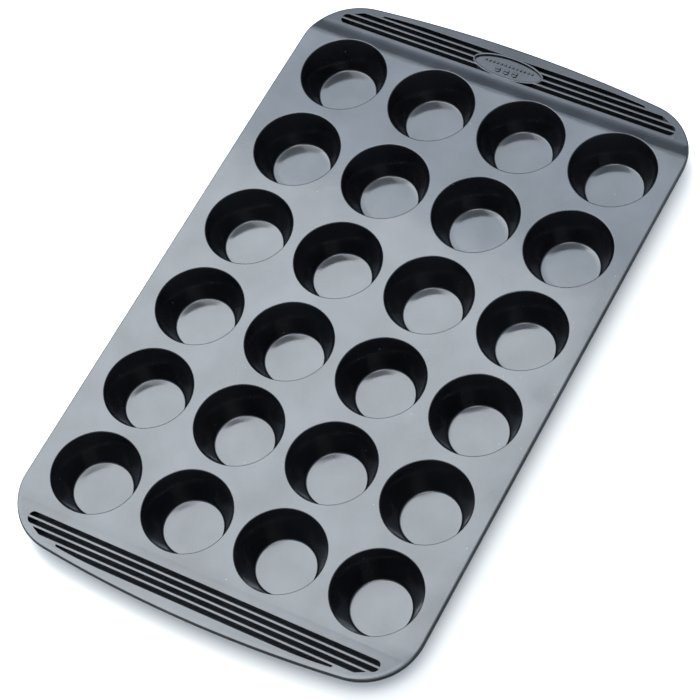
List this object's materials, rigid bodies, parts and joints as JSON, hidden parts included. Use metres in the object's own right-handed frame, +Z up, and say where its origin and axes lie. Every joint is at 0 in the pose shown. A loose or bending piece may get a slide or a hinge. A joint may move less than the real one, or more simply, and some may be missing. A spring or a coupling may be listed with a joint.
{
  "type": "muffin tin",
  "caption": "Flexible black silicone mini muffin mould: a grid of round tapered cups under a flat deck, with a ribbed finger grip at each end and an oval badge on one grip.",
  "frame": {"origin": "centre of the bounding box's bottom face: under the middle of the tray, on the plane the cups stand on", "axes": "+X along the tray's length towards the grip with the oval badge, +Y across the tray, +Z up out of the cups"},
  "size_m": [0.356, 0.218, 0.0198],
  "materials": {
    "silicone": "satin moulded"
  },
  "bodies": {
    "root": {"cup_row_1_column_1": "silicone", "cup_row_1_column_2": "silicone", "cup_row_1_column_3": "silicone", "cup_row_1_column_4": "silicone", "cup_row_2_column_1": "silicone", "cup_row_2_column_2": "silicone", "cup_row_2_column_3": "silicone", "cup_row_2_column_4": "silicone", "cup_row_3_column_1": "silicone", "cup_row_3_column_2": "silicone", "cup_row_3_column_3": "silicone", "cup_row_3_column_4": "silicone", "cup_row_4_column_1": "silicone", "cup_row_4_column_2": "silicone", "cup_row_4_column_3": "silicone", "cup_row_4_column_4": "silicone", "cup_row_5_column_1": "silicone", "cup_row_5_column_2": "silicone", "cup_row_5_column_3": "silicone", "cup_row_5_column_4": "silicone", "cup_row_6_column_1": "silicone", "cup_row_6_column_2": "silicone", "cup_row_6_column_3": "silicone", "cup_row_6_column_4": "silicone", "side_rail_left": "silicone", "side_rail_right": "silicone", "rim_lip": "silicone", "plain_grip": "silicone", "plain_grip_rib_1": "silicone", "plain_grip_rib_2": "silicone", "plain_grip_rib_3": "silicone", "badge_grip": "silicone", "badge_grip_rib_1_left": "silicone", "badge_grip_rib_1_right": "silicone", "badge_grip_rib_2_left": "silicone", "badge_grip_rib_2_right": "silicone", "badge_grip_rib_3_left": "silicone", "badge_grip_rib_3_right": "silicone", "badge_ring": "silicone", "badge_plate": "silicone"}
  },
  "joints": []
}
